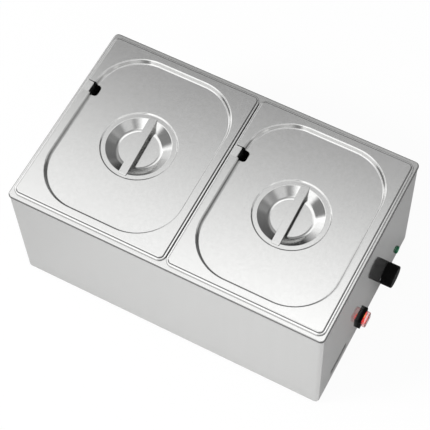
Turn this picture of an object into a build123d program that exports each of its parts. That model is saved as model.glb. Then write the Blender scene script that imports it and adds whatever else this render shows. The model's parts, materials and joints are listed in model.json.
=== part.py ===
# Countertop bain-marie: a stainless water bath in a wrapper casing, heated from below, that holds
# two half-size food pans with lids. Controls sit in one row, low on the +X end.
# Millimetres, +Z up. Z = 0 is the floor under the feet, and the origin is the centre of the whole
# footprint, which the knob and the cable gland make a little longer than the casing.

from build123d import *

import os
from math import hypot

os.makedirs("parts", exist_ok=True)

# food pans, half size
pan_x = 265
pan_y = 325
pan_depth = 150
pan_flange = 12.5
pan_flange_drop = 3
pan_corner = 12.5
pan_mouth_corner = 32
pan_taper = 7.5
pan_floor_round = 16
pan_sheet = 0.7
pan_gap = 1
pan_edge_round = 1.4
pan_mouth_round = 1.2

# lids
lid_inset = 3
lid_corner = 8
lid_drop = 2.5
lid_sheet = 0.8
lid_edge_round = 2.3
lid_border_x = 13.5
lid_border_y = 13.5
recess_corner = 76
recess_depth = 7.5
recess_run = 2.6
recess_round = 2
ledge_radius = 59.8
ledge_width = 7.6
ledge_drop = 1.5
ledge_run = 1.5
ledge_round = 1.2
dish_depth = 9.2
dish_run = 17
dish_mouth_round = 2
dish_floor_round = 12
notch_width = 21
notch_depth = 24.7
notch_y = 58.5
notch_corner = 6

# lid handles: a strap across each dish, welded a little askew as on the real lids
strap_overhang = 3.4
strap_width = 13.6
strap_thickness = 1.8
strap_corner = 2
strap_edge_round = 0.6
weld_radius = 1.4
weld_depth = 0.3
weld_inset = 4
weld_pitch = 6
strap_shift = -1.2
strap_turn_left = 2.6
strap_turn_right = 1.4

# water tank and casing
sheet = 0.8
tank_gap_x = 2
tank_gap_y = 2.5
tank_depth = 170
tank_corner = 30
tank_floor_round = 12
rim_ledge_x = 4.5
rim_ledge_y = 7.5
rim_corner = 8
rim_lip = 4
rim_edge_round = 2.2
body_height = 238
casing_inset = 1.2
casing_edge_round = 1.2
top_flange = 9
bottom_flange = 18
back_return = 16
back_lap = 14

# base plate, feet and their screws
foot_height = 8
foot_top_radius = 12
foot_bottom_radius = 10.5
foot_inset = 42
foot_recess_radius = 5.5
foot_recess_depth = 4
base_inset = 4
base_corner = 6
vent_length = 42
vent_width = 4
vent_pitch = 9
vent_rows = 9
vent_bank_x = 120
base_screw_inset = 9
base_screw_columns = 4
m4_radius = 2
m4_hole_radius = 2.2
m4_head_radius = 3.8
m4_head_height = 2
m4_nut_width = 7
m4_nut_height = 3.2
m4_grip = 6
thread_gap = 0.05

# heating element and what clamps it
element_radius = 4
element_bend = 30
element_left = -190
element_right = 195
element_loop = 150
element_outer_y = 105
element_inner_y = 35
seat_gap = 0.2
bush_step = 0.5
bush_length = 10
pin_radius = 2
pin_length = 12
clamp_width = 16
clamp_thickness = 1.5
clamp_end = 10
clamp_pitch = 140
clamp_centre_x = -20
clamp_side_y = 122
stud_radius = 2.5
stud_length = 29
stud_nut_width = 8
stud_nut_height = 4
insulation_thickness = 8
insulation_margin = 2
shield_left = -210
shield_right = 166
shield_half_width = 138
shield_sheet = 0.8
stud_clear = 0.5

# controls on the +X end, heights from the casing's lower edge
knob_y = 77.5
knob_height = 24
knob_radius = 19.5
knob_stand_out = 20.6
knob_gap = 1
knob_wall = 1.8
knob_hollow = 9
knob_boss_radius = 6.5
knob_rib_count = 54
knob_rib_cut = 0.75
knob_rib_band = 15
knob_face_round = 1.5
knob_index_width = 1.4
knob_index_length = 12
knob_index_depth = 0.6
shaft_radius = 3
shaft_flat = 1
shaft_reach = 15
shaft_seat = 8
running_gap = 0.05
thermostat_width = 36
thermostat_depth = 27
thermostat_neck_radius = 4.8
panel_hole_gap = 0.3
thermostat_screw_spacing = 28
thermostat_screw_head_radius = 3
thermostat_screw_head_height = 0.8
thermostat_screw_reach = 6

lamp_y = 124.5
lamp_height = 24
lamp_lens_radius = 6.8
lamp_lens_edge = 1
lamp_lens_stand_out = 3.6
lamp_stem_radius = 4.9
lamp_stem_length = 3
lamp_depth = 20
lamp_nut_width = 14
lamp_nut_height = 4

air_slot_y = -96
air_slot_height = 27.5
air_slot_length = 57
air_slot_width = 5
air_slot_pitch = 9

switch_y = -12
switch_height = 22.5
frame_y = 31
frame_z = 25
frame_stand_out = 5.5
frame_corner = 2.5
frame_edge_round = 0.8
frame_lip = 3.9
frame_pocket_wall = 0.7
switch_flange = 1.6
switch_flange_gap = 0.1
switch_cutout_gap = 0.3
switch_shoulder = 0.9
switch_depth = 22
switch_cavity_depth = 9
rocker_length = 16.4
rocker_width = 15
rocker_peak = 10
rocker_dip = 1.6
rocker_skirt = 3
rocker_heel = 2.5
rocker_heel_half = 3.5
rocker_pivot_depth = 2.5
rocker_pin_radius = 1.2
rocker_pin_reach = 1.2
rocker_side_gap = 0.4
rocker_end_gap = 2.7
rocker_tilt = 10
cover_stand_out = 13
cover_wall = 0.8
cover_corner = 3
cover_round = 2.5
cover_gap = 0.2

tab_width = 6.3
tab_thickness = 0.8
tab_length = 8

# thermostat bulb, its clip and the overheat cutout, under the tank's floor
bulb_radius = 3
bulb_length = 80
bulb_x = 200
bulb_y = -62
capillary_radius = 0.8
clip_width = 12
clip_sheet = 0.8
clip_tab = 9
m3_radius = 1.5
m3_stud_length = 6
m3_nut_width = 5.5
m3_nut_height = 2.4
cutout_x = 214
cutout_y = 0
cutout_radius = 8
cutout_height = 12
cutout_flange_length = 32
cutout_flange_width = 9
cutout_hole_spacing = 24
cutout_tab_spacing = 9

# mains side: gland, terminal block and earth stud
gland_x = 205
gland_height = 24
gland_bore_radius = 4
gland_hole_radius = 7.6
gland_thread_gap = 0.1
gland_width = 19
gland_flange = 5
gland_inside = 9
gland_neck_radius = 6.8
gland_neck = 8.8
cap_width = 18
cap_wall_end = 2
cap_bore_radius = 4.3
cap_neck_gap = 0.1
gland_nut_height = 4
block_x = 205
block_y = 112
block_length = 42
block_width = 20
block_height = 16
block_pole_pitch = 10
block_hole_radius = 1.8
block_hole_depth = 5
block_hole_height = 7
block_screw_radius = 2
block_screw_depth = 5
block_screw_sink = 1
earth_x = 168
earth_y = 64
earth_length = 14
wire_radius = 1.3

# derived sizes
casing_bottom = foot_height + sheet
rim_z = casing_bottom + body_height
casing_top = rim_z - sheet
pan_pitch = pan_x + pan_gap
pan_mouth_x = pan_x - 2 * pan_flange
pan_mouth_y = pan_y - 2 * pan_flange
pan_top = rim_z + pan_flange_drop
pan_floor = pan_top - pan_depth
lid_top = pan_top + lid_drop
lid_x = pan_x - 2 * lid_inset
lid_y = pan_y - 2 * lid_inset
tank_x = pan_pitch + pan_mouth_x + 2 * tank_gap_x
tank_y = pan_mouth_y + 2 * tank_gap_y
tank_floor = rim_z - tank_depth
tank_under = tank_floor - sheet
rim_x = pan_pitch + pan_x + 2 * rim_ledge_x
rim_y = pan_y + 2 * rim_ledge_y
casing_x = rim_x - 2 * casing_inset
casing_y = rim_y - 2 * casing_inset
casing_corner = rim_corner - casing_inset
panel_x = casing_x / 2
back_y = casing_y / 2 - sheet
back_edge = casing_x / 2 - casing_corner - back_return
gland_stand_out = gland_flange + gland_neck + cap_wall_end
body_x = -(panel_x + knob_stand_out - rim_x / 2) / 2
body_y = -(back_y + gland_stand_out - rim_y / 2) / 2
recess_x = lid_x - 2 * lid_border_x
recess_y = lid_y - 2 * lid_border_y
recess_floor = lid_top - recess_depth
ledge_top = recess_floor - ledge_drop
dish_mouth_radius = ledge_radius - ledge_width
lid_low = ledge_top - dish_depth - 2 * lid_sheet
base_x = casing_x - 2 * base_inset
base_y = casing_y - 2 * base_inset
foot_x = rim_x / 2 - foot_inset
foot_y = rim_y / 2 - foot_inset
element_z = tank_under - seat_gap - element_radius
bush_radius = element_radius - bush_step
clamp_top = element_z - element_radius - seat_gap
insulation_top = clamp_top - clamp_thickness - stud_nut_height
shield_top = insulation_top - insulation_thickness
shield_bottom = shield_top - shield_sheet
knob_z = casing_bottom + knob_height
lamp_z = casing_bottom + lamp_height
air_slot_z = casing_bottom + air_slot_height
switch_z = casing_bottom + switch_height
gland_z = casing_bottom + gland_height
block_hole_z = casing_bottom + block_hole_height
clamp_xs = [clamp_centre_x + step * clamp_pitch for step in (-1, 0, 1)]
clamp_ys = [-clamp_side_y, 0, clamp_side_y]
stud_places = [(x, y) for x in clamp_xs for y in clamp_ys]
clip_hole_y = bulb_y - bulb_radius - clip_sheet - clip_tab / 2
small_stud_places = [
    (cutout_x, cutout_y - cutout_hole_spacing / 2),
    (cutout_x, cutout_y + cutout_hole_spacing / 2),
    (bulb_x, clip_hole_y),
]
foot_places = {
    "foot_front_left": (-foot_x, -foot_y),
    "foot_front_right": (foot_x, -foot_y),
    "foot_back_left": (-foot_x, foot_y),
    "foot_back_right": (foot_x, foot_y),
}


def level(z, x=0, y=0):
    """A horizontal plane at height z, with its own zero at x, y from the casing's middle."""
    return Plane((body_x + x, body_y + y, z))


def panel(y, z):
    """The control end's outer face, seen from outside: local X is +Y, local Y is up, Z is out."""
    return Plane((body_x + panel_x, body_y + y, z), x_dir=(0, 1, 0), z_dir=(1, 0, 0))


def back(x, z):
    """The back panel's outer face: local X is -X, local Y is up, Z is out."""
    return Plane((body_x + x, body_y + back_y, z), x_dir=(-1, 0, 0), z_dir=(0, 1, 0))


def keep(piece, name):
    """Labels a finished piece and writes it as its own node."""
    piece.part.label = name
    export_step(piece.part, f"parts/{name}.step")


# water tank: flat rim with a turned-down lip round a deep basin
with BuildPart() as basin:
    with BuildSketch(level(tank_floor)):
        RectangleRounded(tank_x, tank_y, tank_corner)
    extrude(amount=tank_depth)
    fillet(basin.faces().sort_by(Axis.Z)[0].edges(), tank_floor_round)

with BuildPart() as water_tank:
    with BuildSketch(level(tank_under)):
        RectangleRounded(tank_x + 2 * sheet, tank_y + 2 * sheet, tank_corner + sheet)
    extrude(amount=rim_z - tank_under)
    fillet(water_tank.faces().sort_by(Axis.Z)[0].edges(), tank_floor_round + sheet)
    with BuildSketch(level(rim_z - rim_lip)):
        RectangleRounded(rim_x, rim_y, rim_corner)
        RectangleRounded(tank_x + sheet, tank_y + sheet, tank_corner + sheet / 2, mode=Mode.SUBTRACT)
    extrude(amount=rim_lip)
    fillet(water_tank.faces().sort_by(Axis.Z)[-1].outer_wire().edges(), rim_edge_round)
    with BuildSketch(level(rim_z - rim_lip)):
        RectangleRounded(rim_x - 2 * sheet, rim_y - 2 * sheet, rim_corner - sheet)
        RectangleRounded(
            tank_x + 2 * sheet, tank_y + 2 * sheet, tank_corner + sheet, mode=Mode.SUBTRACT
        )
    extrude(amount=rim_lip - sheet, mode=Mode.SUBTRACT)
    add(basin.part, mode=Mode.SUBTRACT)
keep(water_tank, "water_tank")

# studs welded to the tank's floor: long ones for the element, short ones for the bulb and the cutout
with BuildPart() as long_studs:
    with BuildSketch(level(tank_under)):
        with Locations(*stud_places):
            Circle(stud_radius)
    extrude(amount=-stud_length)
keep(long_studs, "long_studs")

with BuildPart() as short_studs:
    with BuildSketch(level(tank_under)):
        with Locations(*small_stud_places):
            Circle(m3_radius)
    extrude(amount=-m3_stud_length)
keep(short_studs, "short_studs")

# outer casing: one sheet folded round the front, both ends and a little way behind, with a flange
# turned in at the top and at the bottom
switch_hole_y = frame_y - 2 * frame_pocket_wall - 2 * switch_shoulder
switch_hole_z = frame_z - 2 * frame_pocket_wall - 2 * switch_shoulder
base_screw_x = base_x / 2 - base_screw_inset
base_screw_y = base_y / 2 - base_screw_inset
base_screw_places = [
    (-base_screw_x + column * 2 * base_screw_x / (base_screw_columns - 1), side * base_screw_y)
    for column in range(base_screw_columns)
    for side in (-1, 1)
]
with BuildPart() as outer_casing:
    with BuildSketch(level(casing_bottom)):
        RectangleRounded(casing_x, casing_y, casing_corner)
    extrude(amount=casing_top - casing_bottom)
    fillet(outer_casing.faces().sort_by(Axis.Z)[0].edges(), casing_edge_round)
    with BuildSketch(level(casing_bottom + sheet)):
        RectangleRounded(casing_x - 2 * sheet, casing_y - 2 * sheet, casing_corner - sheet)
    extrude(amount=casing_top - casing_bottom - 2 * sheet, mode=Mode.SUBTRACT)
    with BuildSketch(level(casing_bottom)):
        RectangleRounded(
            casing_x - 2 * sheet - 2 * bottom_flange,
            casing_y - 2 * sheet - 2 * bottom_flange,
            casing_corner,
        )
        with Locations(*base_screw_places):
            Circle(m4_radius + thread_gap)
    extrude(amount=sheet, mode=Mode.SUBTRACT)
    with BuildSketch(level(casing_top - sheet)):
        RectangleRounded(
            casing_x - 2 * sheet - 2 * top_flange,
            casing_y - 2 * sheet - 2 * top_flange,
            tank_corner,
        )
    extrude(amount=sheet, mode=Mode.SUBTRACT)
    with BuildSketch(panel(0, 0)):
        with Locations((lamp_y, lamp_z)):
            Circle(lamp_stem_radius + panel_hole_gap)
        with Locations((knob_y, knob_z)):
            Circle(thermostat_neck_radius + panel_hole_gap)
            with GridLocations(thermostat_screw_spacing, 1, 2, 1):
                Circle(m4_radius + thread_gap)
        with Locations((switch_y, switch_z)):
            Rectangle(switch_hole_y, switch_hole_z)
        with Locations((air_slot_y, air_slot_z)):
            with GridLocations(1, air_slot_pitch, 1, 2):
                SlotOverall(air_slot_length, air_slot_width)
    extrude(amount=-2 * sheet, mode=Mode.SUBTRACT)
    with BuildSketch(level(casing_bottom, 0, casing_y / 2)):
        Rectangle(2 * back_edge, 2 * bottom_flange + 4 * sheet)
    extrude(amount=casing_top - casing_bottom, mode=Mode.SUBTRACT)
keep(outer_casing, "outer_casing")

# back panel: closes the wrapper from inside its turned edges, with flanges of its own
with BuildPart() as back_panel:
    with BuildSketch(level(casing_bottom + sheet, 0, back_y - sheet / 2)):
        Rectangle(2 * back_edge + 2 * back_lap, sheet)
    extrude(amount=casing_top - casing_bottom - 2 * sheet)
    with BuildSketch(level(casing_bottom, 0, back_y - bottom_flange / 2)):
        Rectangle(2 * back_edge - 2 * sheet, bottom_flange)
    extrude(amount=sheet)
    with BuildSketch(level(casing_top - sheet, 0, back_y - top_flange / 2)):
        Rectangle(2 * back_edge - 2 * sheet, top_flange)
    extrude(amount=sheet)
    with BuildSketch(level(casing_bottom)):
        with Locations(*base_screw_places):
            Circle(m4_radius + thread_gap)
    extrude(amount=sheet, mode=Mode.SUBTRACT)
    with BuildSketch(back(gland_x, gland_z)):
        Circle(gland_hole_radius)
    extrude(amount=-2 * sheet, mode=Mode.SUBTRACT)
keep(back_panel, "back_panel")

# base plate with air slots, held up against the casing's bottom flange
with BuildPart() as base_plate:
    with BuildSketch(level(foot_height)):
        RectangleRounded(base_x, base_y, base_corner)
        with Locations(*base_screw_places, *foot_places.values()):
            Circle(m4_hole_radius, mode=Mode.SUBTRACT)
        with Locations((earth_x, earth_y)):
            Circle(m4_radius + thread_gap, mode=Mode.SUBTRACT)
        with Locations((-vent_bank_x, 0), (vent_bank_x, 0)):
            with GridLocations(1, vent_pitch, 1, vent_rows):
                SlotOverall(vent_length, vent_width, mode=Mode.SUBTRACT)
    extrude(amount=sheet)
keep(base_plate, "base_plate")

with BuildPart() as base_plate_screws:
    with BuildSketch(level(foot_height)):
        with Locations(*base_screw_places):
            Circle(m4_head_radius)
    extrude(amount=-m4_head_height)
    fillet(base_plate_screws.faces().sort_by(Axis.Z)[: len(base_screw_places)].edges(), 0.8)
    with BuildSketch(level(foot_height)):
        with Locations(*base_screw_places):
            Circle(m4_radius)
    extrude(amount=m4_grip)
keep(base_plate_screws, "base_plate_screws")

# rubber feet, each with a recess that hides its screw's head
for name, (x, y) in foot_places.items():
    with BuildPart() as foot:
        with BuildSketch(level(0, x, y)):
            Circle(foot_bottom_radius)
        with BuildSketch(level(foot_height, x, y)):
            Circle(foot_top_radius)
        loft()
        with BuildSketch(level(0, x, y)):
            Circle(foot_recess_radius)
        extrude(amount=foot_recess_depth, mode=Mode.SUBTRACT)
        with BuildSketch(level(0, x, y)):
            Circle(m4_hole_radius)
        extrude(amount=foot_height, mode=Mode.SUBTRACT)
    keep(foot, name)

with BuildPart() as foot_screws:
    with BuildSketch(level(foot_recess_depth)):
        with Locations(*foot_places.values()):
            Circle(m4_head_radius)
    extrude(amount=-m4_head_height)
    with BuildSketch(level(foot_recess_depth)):
        with Locations(*foot_places.values()):
            Circle(m4_radius)
    extrude(amount=casing_bottom - foot_recess_depth + m4_grip)
keep(foot_screws, "foot_screws")

with BuildPart() as foot_nuts:
    with BuildSketch(level(casing_bottom)):
        with Locations(*foot_places.values()):
            RegularPolygon(m4_nut_width / 2, 6, major_radius=False)
            Circle(m4_radius + thread_gap, mode=Mode.SUBTRACT)
    extrude(amount=m4_nut_height)
keep(foot_nuts, "foot_nuts")

# heating element: one tube in four runs, with its cold ends towards the controls
element_route = [
    (element_right, element_outer_y, element_z),
    (element_left, element_outer_y, element_z),
    (element_left, element_inner_y, element_z),
    (element_loop, element_inner_y, element_z),
    (element_loop, -element_inner_y, element_z),
    (element_left, -element_inner_y, element_z),
    (element_left, -element_outer_y, element_z),
    (element_right, -element_outer_y, element_z),
]
with BuildPart() as heating_element:
    with BuildLine(level(0)) as element_line:
        FilletPolyline(*element_route, radius=element_bend)
    with BuildSketch(Plane(element_line.line @ 0, z_dir=element_line.line % 0)):
        Circle(element_radius)
    sweep()
keep(heating_element, "heating_element")

with BuildPart() as element_terminals:
    for side in (-1, 1):
        end = Plane(
            (body_x + element_right, body_y + side * element_outer_y, element_z), z_dir=(1, 0, 0)
        )
        with BuildSketch(end):
            Circle(bush_radius)
        extrude(amount=bush_length)
        with BuildSketch(end.offset(bush_length)):
            Circle(pin_radius)
        extrude(amount=pin_length)
keep(element_terminals, "element_terminals")

# three clamp bars press the element against the tank's floor
for name, x in zip(("clamp_bar_left", "clamp_bar_middle", "clamp_bar_right"), clamp_xs):
    with BuildPart() as clamp_bar:
        with BuildSketch(level(clamp_top, x)):
            Rectangle(clamp_width, 2 * clamp_side_y + 2 * clamp_end)
            with Locations(*[(0, y) for y in clamp_ys]):
                Circle(stud_radius + stud_clear, mode=Mode.SUBTRACT)
        extrude(amount=-clamp_thickness)
        fillet(clamp_bar.edges().filter_by(Axis.Z), 3)
    keep(clamp_bar, name)

with BuildPart() as stud_nuts:
    for z in (clamp_top - clamp_thickness, shield_bottom):
        with BuildSketch(level(z)):
            with Locations(*stud_places):
                RegularPolygon(stud_nut_width / 2, 6, major_radius=False)
                Circle(stud_radius + thread_gap, mode=Mode.SUBTRACT)
        extrude(amount=-stud_nut_height)
keep(stud_nuts, "stud_nuts")

# insulation board on a sheet tray, held up by the same studs
shield_x = shield_right - shield_left
shield_centre = (shield_right + shield_left) / 2
with BuildPart() as insulation_board:
    with BuildSketch(level(shield_top, shield_centre)):
        Rectangle(shield_x - 2 * insulation_margin, 2 * shield_half_width - 2 * insulation_margin)
    extrude(amount=insulation_thickness)
    with BuildSketch(level(shield_top)):
        with Locations(*stud_places):
            Circle(stud_radius + stud_clear)
    extrude(amount=insulation_thickness, mode=Mode.SUBTRACT)
keep(insulation_board, "insulation_board")

with BuildPart() as heat_shield:
    with BuildSketch(level(shield_bottom, shield_centre)):
        Rectangle(shield_x, 2 * shield_half_width)
    extrude(amount=shield_sheet + insulation_thickness / 2)
    with BuildSketch(level(shield_top, shield_centre)):
        Rectangle(shield_x - 2 * shield_sheet, 2 * shield_half_width - 2 * shield_sheet)
    extrude(amount=insulation_thickness, mode=Mode.SUBTRACT)
    with BuildSketch(level(shield_bottom)):
        with Locations(*stud_places):
            Circle(stud_radius + stud_clear)
    extrude(amount=shield_sheet, mode=Mode.SUBTRACT)
keep(heat_shield, "heat_shield")

# thermostat: body behind the panel, neck through it, two screws, shaft and knob
with BuildPart() as thermostat_body:
    with BuildSketch(panel(knob_y, knob_z).offset(-sheet)):
        RectangleRounded(thermostat_width, thermostat_width, 2)
    extrude(amount=-thermostat_depth)
    with BuildSketch(panel(knob_y, knob_z).offset(-sheet)):
        Circle(thermostat_neck_radius)
    extrude(amount=sheet)
    with BuildSketch(panel(knob_y, knob_z)):
        Circle(shaft_radius + running_gap)
        with GridLocations(thermostat_screw_spacing, 1, 2, 1):
            Circle(m4_radius + thread_gap)
    extrude(amount=-(shaft_seat + sheet), mode=Mode.SUBTRACT)
keep(thermostat_body, "thermostat_body")

with BuildPart() as thermostat_screws:
    with BuildSketch(panel(knob_y, knob_z)):
        with GridLocations(thermostat_screw_spacing, 1, 2, 1):
            Circle(thermostat_screw_head_radius)
    extrude(amount=thermostat_screw_head_height)
    with BuildSketch(panel(knob_y, knob_z)):
        with GridLocations(thermostat_screw_spacing, 1, 2, 1):
            Circle(m4_radius)
    extrude(amount=-thermostat_screw_reach)
keep(thermostat_screws, "thermostat_screws")

with BuildPart() as thermostat_shaft:
    with BuildSketch(panel(knob_y, knob_z).offset(-shaft_seat)):
        Circle(shaft_radius)
    extrude(amount=shaft_seat + shaft_reach)
    with BuildSketch(panel(knob_y, knob_z).offset(knob_gap)):
        with Locations((0, shaft_radius)):
            Rectangle(2 * shaft_radius, 2 * shaft_flat)
    extrude(amount=shaft_reach, mode=Mode.SUBTRACT)
keep(thermostat_shaft, "thermostat_shaft")

knob_length = knob_stand_out - knob_gap
with BuildPart() as thermostat_knob:
    with BuildSketch(panel(knob_y, knob_z).offset(knob_gap)):
        Circle(knob_radius)
    extrude(amount=knob_length)
    fillet(thermostat_knob.faces().sort_by(Axis.X)[-1].edges(), knob_face_round)
    with BuildSketch(panel(knob_y, knob_z).offset(knob_gap)):
        Circle(knob_radius - knob_wall)
        Circle(knob_boss_radius, mode=Mode.SUBTRACT)
    extrude(amount=knob_hollow, mode=Mode.SUBTRACT)
    with BuildSketch(panel(knob_y, knob_z).offset(knob_gap)):
        Circle(shaft_radius + running_gap)
        with Locations((0, shaft_radius + running_gap)):
            Rectangle(3 * shaft_radius, 2 * shaft_flat, mode=Mode.SUBTRACT)
    extrude(amount=shaft_reach - knob_gap + running_gap, mode=Mode.SUBTRACT)
    with BuildSketch(panel(knob_y, knob_z).offset(knob_gap)):
        with PolarLocations(knob_radius + knob_rib_cut / 3, knob_rib_count):
            Circle(knob_rib_cut)
    extrude(amount=knob_rib_band, mode=Mode.SUBTRACT)
    with BuildSketch(panel(knob_y, knob_z).offset(knob_stand_out)):
        with Locations((0, knob_radius - knob_index_length / 2)):
            Rectangle(knob_index_width, knob_index_length)
    extrude(amount=-knob_index_depth, mode=Mode.SUBTRACT)
keep(thermostat_knob, "thermostat_knob")

# indicator lamp
with BuildPart() as lamp_lens:
    with BuildSketch(panel(lamp_y, lamp_z)):
        Circle(lamp_lens_radius)
    extrude(amount=lamp_lens_stand_out)
    fillet(
        lamp_lens.faces().sort_by(Axis.X)[-1].edges(), lamp_lens_stand_out - lamp_lens_edge
    )
    with BuildSketch(panel(lamp_y, lamp_z)):
        Circle(lamp_stem_radius)
    extrude(amount=-lamp_stem_length)
keep(lamp_lens, "lamp_lens")

with BuildPart() as lamp_body:
    with BuildSketch(panel(lamp_y, lamp_z).offset(-lamp_stem_length)):
        Circle(lamp_stem_radius)
    extrude(amount=-(lamp_depth - lamp_stem_length))
    fillet(lamp_body.faces().sort_by(Axis.X)[0].edges(), 1)
keep(lamp_body, "lamp_body")

with BuildPart() as lamp_nut:
    with BuildSketch(panel(lamp_y, lamp_z).offset(-sheet)):
        RegularPolygon(lamp_nut_width / 2, 6, major_radius=False)
        Circle(lamp_stem_radius + thread_gap, mode=Mode.SUBTRACT)
    extrude(amount=-lamp_nut_height)
keep(lamp_nut, "lamp_nut")

# rocker switch: body snapped into the panel, rocker, clear splash cover and the frame over all
pocket_y = frame_y - 2 * frame_pocket_wall
pocket_z = frame_z - 2 * frame_pocket_wall
flange_y = pocket_y - 2 * switch_flange_gap
flange_z = pocket_z - 2 * switch_flange_gap
cover_y = frame_y - 2 * frame_lip - 2 * cover_gap
cover_z = frame_z - 2 * frame_lip + 2 * cover_wall
cavity_y = rocker_length + 2 * rocker_end_gap
cavity_z = rocker_width + 2 * rocker_side_gap
cover_flange_top = switch_flange + cover_wall
switch = panel(switch_y, switch_z)
pivot = Plane(
    switch.offset(-rocker_pivot_depth).origin, x_dir=(0, 1, 0), z_dir=(0, 0, -1)
)
with BuildPart() as switch_body:
    with BuildSketch(switch):
        RectangleRounded(flange_y, flange_z, frame_corner - frame_pocket_wall)
    extrude(amount=switch_flange)
    with BuildSketch(switch):
        Rectangle(switch_hole_y - switch_cutout_gap, switch_hole_z - switch_cutout_gap)
    extrude(amount=-switch_depth)
    with BuildSketch(switch.offset(switch_flange)):
        Rectangle(cavity_y, cavity_z)
    extrude(amount=-(switch_flange + switch_cavity_depth), mode=Mode.SUBTRACT)
    with BuildSketch(pivot):
        Circle(rocker_pin_radius + running_gap)
    extrude(amount=cavity_z / 2 + rocker_pin_reach, both=True, mode=Mode.SUBTRACT)
keep(switch_body, "switch_body")

# the rocker rests tipped to one side, as it is when switched on
tipped = pivot.rotated((0, 0, rocker_tilt))
half_rocker = rocker_length / 2
with BuildPart() as switch_rocker:
    with BuildSketch(tipped):
        with BuildLine():
            Polyline(
                (-half_rocker, rocker_peak),
                (0, rocker_peak - rocker_dip),
                (half_rocker, rocker_peak),
                (half_rocker, rocker_skirt),
                (rocker_heel_half, -rocker_heel),
                (-rocker_heel_half, -rocker_heel),
                (-half_rocker, rocker_skirt),
                close=True,
            )
        make_face()
    extrude(amount=rocker_width / 2, both=True)
    with BuildSketch(tipped):
        Circle(rocker_pin_radius)
    extrude(amount=rocker_width / 2 + rocker_pin_reach, both=True)
keep(switch_rocker, "switch_rocker")

with BuildPart() as splash_cover:
    with BuildSketch(switch.offset(switch_flange)):
        RectangleRounded(flange_y, flange_z, frame_corner - frame_pocket_wall)
    extrude(amount=cover_wall)
    with BuildSketch(switch.offset(switch_flange)):
        RectangleRounded(cover_y, cover_z, cover_corner)
    extrude(amount=cover_stand_out - switch_flange)
    fillet(splash_cover.faces().sort_by(Axis.X)[-1].edges(), cover_round)
    with BuildSketch(switch.offset(switch_flange)):
        RectangleRounded(cover_y - 2 * cover_wall, cover_z - 2 * cover_wall, cover_corner - cover_wall)
    extrude(amount=cover_stand_out - switch_flange - cover_wall, mode=Mode.SUBTRACT)
keep(splash_cover, "splash_cover")

with BuildPart() as switch_frame:
    with BuildSketch(switch):
        RectangleRounded(frame_y, frame_z, frame_corner)
    extrude(amount=frame_stand_out)
    fillet(switch_frame.faces().sort_by(Axis.X)[-1].edges(), frame_edge_round)
    with BuildSketch(switch):
        RectangleRounded(pocket_y, pocket_z, frame_corner - frame_pocket_wall)
    extrude(amount=cover_flange_top, mode=Mode.SUBTRACT)
    with BuildSketch(switch):
        RectangleRounded(cover_y + 2 * cover_gap, cover_z + 2 * cover_gap, cover_corner + cover_gap)
    extrude(amount=frame_stand_out, mode=Mode.SUBTRACT)
keep(switch_frame, "switch_frame")

# thermostat bulb and its clip against the tank's floor
bulb_z = tank_under - seat_gap - bulb_radius
with BuildPart() as thermostat_bulb:
    with BuildSketch(Plane((body_x + bulb_x, body_y + bulb_y, bulb_z), z_dir=(1, 0, 0))):
        Circle(bulb_radius)
    extrude(amount=bulb_length / 2, both=True)
    fillet(thermostat_bulb.edges(), 1)
keep(thermostat_bulb, "thermostat_bulb")

clip_reach = bulb_radius + seat_gap + clip_sheet
clip_plane = Plane((body_x + bulb_x, body_y + bulb_y, tank_under), x_dir=(0, 1, 0), z_dir=(1, 0, 0))
with BuildPart() as bulb_clip:
    with BuildSketch(clip_plane):
        with Locations((-clip_reach - clip_tab / 2, -clip_sheet / 2)):
            Rectangle(clip_tab + 2 * clip_sheet, clip_sheet)
        with Locations((0, -clip_reach)):
            SlotOverall(4 * clip_reach, 2 * clip_reach, rotation=90)
        with Locations((0, bulb_z - tank_under)):
            SlotOverall(4 * clip_reach, 2 * (bulb_radius + seat_gap), rotation=90, mode=Mode.SUBTRACT)
        with Locations((0, 2 * clip_reach)):
            Rectangle(8 * clip_reach + clip_tab, 4 * clip_reach, mode=Mode.SUBTRACT)
    extrude(amount=clip_width / 2, both=True)
    with BuildSketch(level(tank_under)):
        with Locations((bulb_x, clip_hole_y)):
            Circle(m3_radius + thread_gap)
    extrude(amount=-clip_sheet, mode=Mode.SUBTRACT)
keep(bulb_clip, "bulb_clip")

# overheat cutout: a disc with two ears on weld studs
with BuildPart() as overheat_cutout:
    with BuildSketch(level(tank_under, cutout_x, cutout_y)):
        SlotOverall(cutout_flange_length, cutout_flange_width, rotation=90)
        with GridLocations(1, cutout_hole_spacing, 1, 2):
            Circle(m3_radius + thread_gap, mode=Mode.SUBTRACT)
    extrude(amount=-sheet)
    with BuildSketch(level(tank_under, cutout_x, cutout_y)):
        Circle(cutout_radius)
    extrude(amount=-cutout_height)
    fillet(overheat_cutout.faces().sort_by(Axis.Z)[0].edges(), 1)
keep(overheat_cutout, "overheat_cutout")

with BuildPart() as small_nuts:
    with BuildSketch(level(tank_under - sheet)):
        with Locations(*small_stud_places):
            RegularPolygon(m3_nut_width / 2, 6, major_radius=False)
            Circle(m3_radius + thread_gap, mode=Mode.SUBTRACT)
    extrude(amount=-m3_nut_height)
keep(small_nuts, "small_nuts")

# cable gland in the back panel, with its cap outside and its lock nut inside
with BuildPart() as gland_body:
    with BuildSketch(back(gland_x, gland_z)):
        RegularPolygon(gland_width / 2, 6, major_radius=False)
    extrude(amount=gland_flange)
    with BuildSketch(back(gland_x, gland_z)):
        Circle(gland_hole_radius - gland_thread_gap)
    extrude(amount=-gland_inside)
    with BuildSketch(back(gland_x, gland_z).offset(gland_flange)):
        Circle(gland_neck_radius)
    extrude(amount=gland_neck)
    with BuildSketch(back(gland_x, gland_z).offset(-gland_inside)):
        Circle(gland_bore_radius)
    extrude(amount=gland_inside + gland_flange + gland_neck, mode=Mode.SUBTRACT)
keep(gland_body, "gland_body")

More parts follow.
